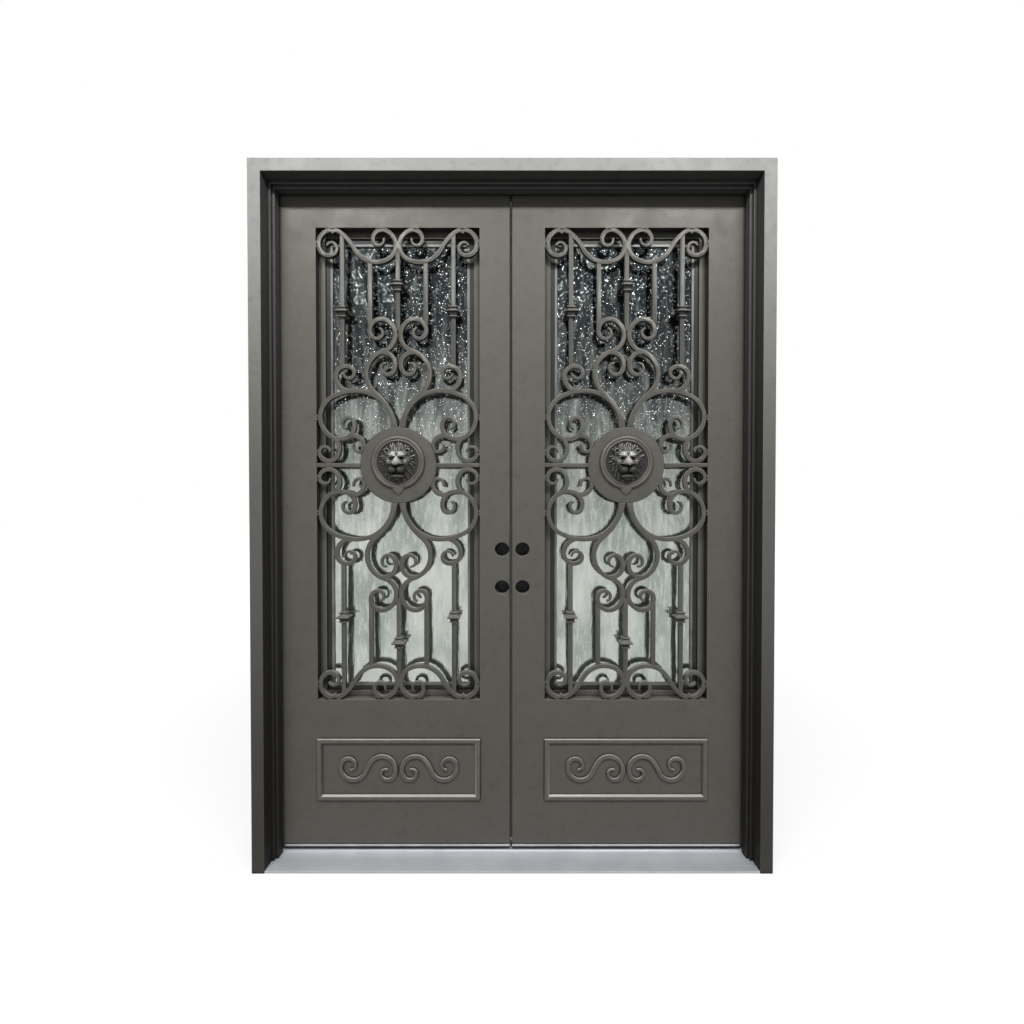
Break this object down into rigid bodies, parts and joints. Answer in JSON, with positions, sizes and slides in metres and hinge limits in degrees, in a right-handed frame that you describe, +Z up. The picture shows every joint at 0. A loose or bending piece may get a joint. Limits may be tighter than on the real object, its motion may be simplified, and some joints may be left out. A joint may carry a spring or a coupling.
{
  "type": "double wrought iron entry door",
  "caption": "Pair of iron entry doors in a stepped steel frame, with scrollwork and a lion roundel over textured glass",
  "frame": {"origin": "middle of the underside of the threshold, on the centre plane of the frame's depth", "axes": "+X to the right seen from outside, +Y into the building, +Z up"},
  "size_m": [1.829, 0.172, 2.489],
  "materials": {
    "frame_paint": "satin bronze grey paint",
    "door_paint": "satin bronze grey paint",
    "scroll_iron": "satin bronze grey paint over forged bar",
    "cast_iron": "dark cast relief with rubbed high spots",
    "sill_metal": "mill finish",
    "aluminium": "bright mill finish",
    "bright_bead": "bright",
    "textured_glass": "rippled",
    "seal_rubber": "black",
    "hinge_steel": "painted steel"
  },
  "bodies": {
    "frame": {"left_jamb": "frame_paint", "right_jamb": "frame_paint", "head_jamb": "frame_paint", "threshold": "sill_metal", "weather_seal": "seal_rubber", "left_jamb_hinges": "hinge_steel", "right_jamb_hinges": "hinge_steel"},
    "left_leaf": {"left_hinge_stile": "door_paint", "left_lock_stile": "door_paint", "left_lock_box": "door_paint", "left_top_rail": "door_paint", "left_kick_panel": "door_paint", "left_sash": "door_paint", "left_glazing_bead": "bright_bead", "left_glass": "textured_glass", "left_grille_scrolls": "scroll_iron", "left_grille_bars": "scroll_iron", "left_round_plate": "scroll_iron", "left_lion_roundel": "cast_iron", "left_kick_moulding": "door_paint", "left_kick_scrolls": "scroll_iron", "left_bottom_sweep": "aluminium", "left_leaf_hinges": "hinge_steel"},
    "right_leaf": {"right_hinge_stile": "door_paint", "right_lock_stile": "door_paint", "right_lock_box": "door_paint", "right_top_rail": "door_paint", "right_kick_panel": "door_paint", "right_sash": "door_paint", "right_glazing_bead": "bright_bead", "right_glass": "textured_glass", "right_grille_scrolls": "scroll_iron", "right_grille_bars": "scroll_iron", "right_round_plate": "scroll_iron", "right_lion_roundel": "cast_iron", "right_kick_moulding": "door_paint", "right_kick_scrolls": "scroll_iron", "right_bottom_sweep": "aluminium", "right_leaf_hinges": "hinge_steel"}
  },
  "joints": [
    {"name": "left_leaf_swing", "type": "hinge", "parent": "frame", "child": "left_leaf", "pos_m": [-0.8665, 0.087, 0], "axis": [0, 0, 1], "range_deg": [0, 110]},
    {"name": "right_leaf_swing", "type": "hinge", "parent": "frame", "child": "right_leaf", "pos_m": [0.8665, 0.087, 0], "axis": [0, 0, -1], "range_deg": [0, 110]}
  ]
}
